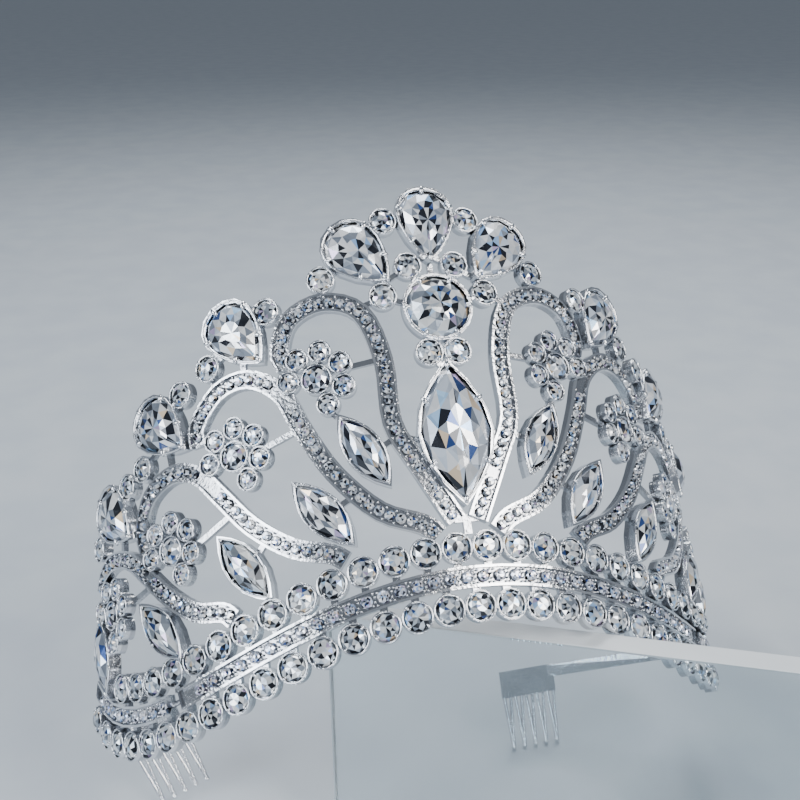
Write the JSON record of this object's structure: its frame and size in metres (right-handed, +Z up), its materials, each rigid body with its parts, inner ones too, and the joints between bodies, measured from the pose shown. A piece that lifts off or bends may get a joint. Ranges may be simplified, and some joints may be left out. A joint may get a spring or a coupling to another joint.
{
  "type": "pageant crown on a clear upright panel",
  "caption": "Tall silver pageant crown with pear and marquise crystals, leaning back on its combs and a clear upright panel.",
  "frame": {"origin": "middle of the foot of the clear panel's long leaf, on the surface it stands on", "axes": "+Z up, +X towards the crown's right end as the picture shows it, the crown's front faces -Y"},
  "size_m": [0.2054, 0.0968, 0.1463],
  "materials": {
    "silver": "polished plating over a cast body",
    "crystal": "faceted, foil behind",
    "clear_sheet": "clear, smooth"
  },
  "bodies": {
    "root": {"base_band": "silver", "crest": "silver", "scroll_b_left": "silver", "scroll_b_right": "silver", "scroll_c_left": "silver", "scroll_c_right": "silver", "scroll_d_left": "silver", "scroll_d_right": "silver", "comb_left": "silver", "comb_right": "silver", "upright_panel": "clear_sheet", "pear_top": "crystal", "pear_a_left": "crystal", "pear_a_right": "crystal", "pear_b_left": "crystal", "pear_b_right": "crystal", "pear_c_left": "crystal", "pear_c_right": "crystal", "pear_d_left": "crystal", "pear_d_right": "crystal", "round_stone": "crystal", "big_marquise": "crystal", "marquise_a_left": "crystal", "marquise_a_right": "crystal", "marquise_b_left": "crystal", "marquise_b_right": "crystal", "marquise_c_left": "crystal", "marquise_c_right": "crystal", "marquise_d_left": "crystal", "marquise_d_right": "crystal", "marquise_e_left": "crystal", "marquise_e_right": "crystal", "flower_a_left": "crystal", "flower_a_right": "crystal", "flower_b_left": "crystal", "flower_b_right": "crystal", "flower_c_left": "crystal", "flower_c_right": "crystal", "flower_d_left": "crystal", "flower_d_right": "crystal", "accents_left": "crystal", "accents_right": "crystal", "lower_row": "crystal", "upper_row": "crystal", "band_stones": "crystal"}
  },
  "joints": []
}
